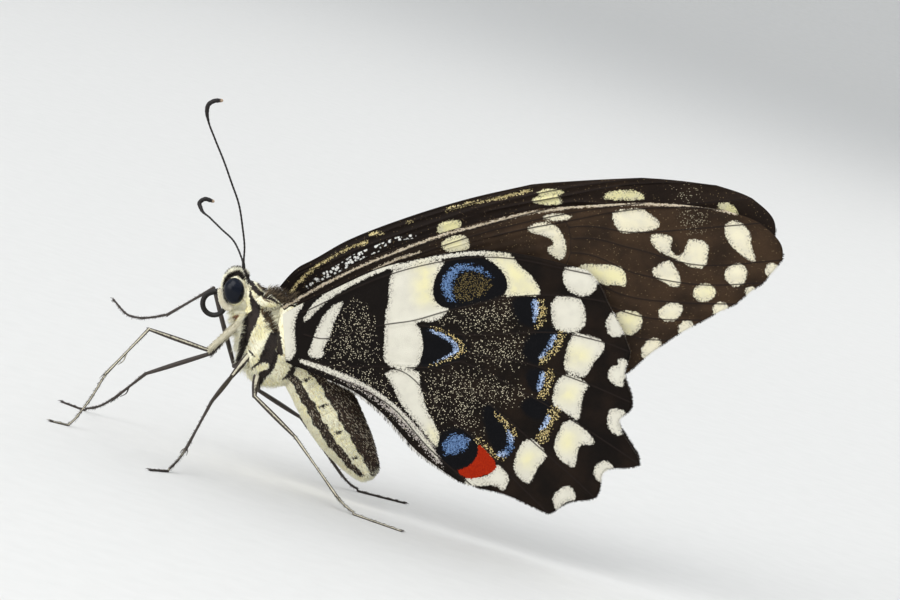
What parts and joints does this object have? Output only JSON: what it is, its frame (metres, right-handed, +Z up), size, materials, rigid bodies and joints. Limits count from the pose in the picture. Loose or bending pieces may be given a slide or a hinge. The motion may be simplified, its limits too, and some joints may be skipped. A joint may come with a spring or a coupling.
{
  "type": "swallowtail butterfly",
  "caption": "Life-size tailless citrus swallowtail butterfly standing with its wings closed over its back, coiled proboscis, hooked antennae and spotted, eye-marked wings.",
  "frame": {"origin": "on the floor under the middle of the insect's box, at the level of its feet", "axes": "+Z up, -X towards the head, -Y towards the insect's left side, which the picture shows"},
  "size_m": [0.0654, 0.0323, 0.0412],
  "materials": {
    "forewing_scales": "velvety dark brown scales dusted with gold, cream spots",
    "hindwing_scales": "velvety brown scales with a cream band, blue and gold eyespots and a red patch",
    "body_scales": "soft cream scales and hairs with dark brown stripes",
    "compound_eye": "glossy blue-black facets with a soft sheen",
    "dark_cuticle": "satin black-brown cuticle",
    "leg_cuticle": "satin dark brown cuticle with a pale cream scaled line"
  },
  "bodies": {
    "root": {"abdomen": "body_scales", "antenna_left": "dark_cuticle", "antenna_right": "dark_cuticle", "coxa_fore_left": "leg_cuticle", "coxa_fore_right": "leg_cuticle", "coxa_hind_left": "leg_cuticle", "coxa_hind_right": "leg_cuticle", "coxa_mid_left": "leg_cuticle", "coxa_mid_right": "leg_cuticle", "eye_left": "compound_eye", "eye_right": "compound_eye", "femur_fore_left": "leg_cuticle", "femur_fore_right": "leg_cuticle", "femur_hind_left": "leg_cuticle", "femur_hind_right": "leg_cuticle", "femur_mid_left": "leg_cuticle", "femur_mid_right": "leg_cuticle", "forewing_left": "forewing_scales", "forewing_right": "forewing_scales", "head": "body_scales", "hindwing_left": "hindwing_scales", "hindwing_right": "hindwing_scales", "palp_left": "body_scales", "palp_right": "body_scales", "proboscis": "dark_cuticle", "prothorax": "body_scales", "tarsus_fore_left": "leg_cuticle", "tarsus_fore_right": "leg_cuticle", "tarsus_hind_left": "leg_cuticle", "tarsus_hind_right": "leg_cuticle", "tarsus_mid_left": "leg_cuticle", "tarsus_mid_right": "leg_cuticle", "thorax": "body_scales", "tibia_fore_left": "leg_cuticle", "tibia_fore_right": "leg_cuticle", "tibia_hind_left": "leg_cuticle", "tibia_hind_right": "leg_cuticle", "tibia_mid_left": "leg_cuticle", "tibia_mid_right": "leg_cuticle"}
  },
  "joints": []
}
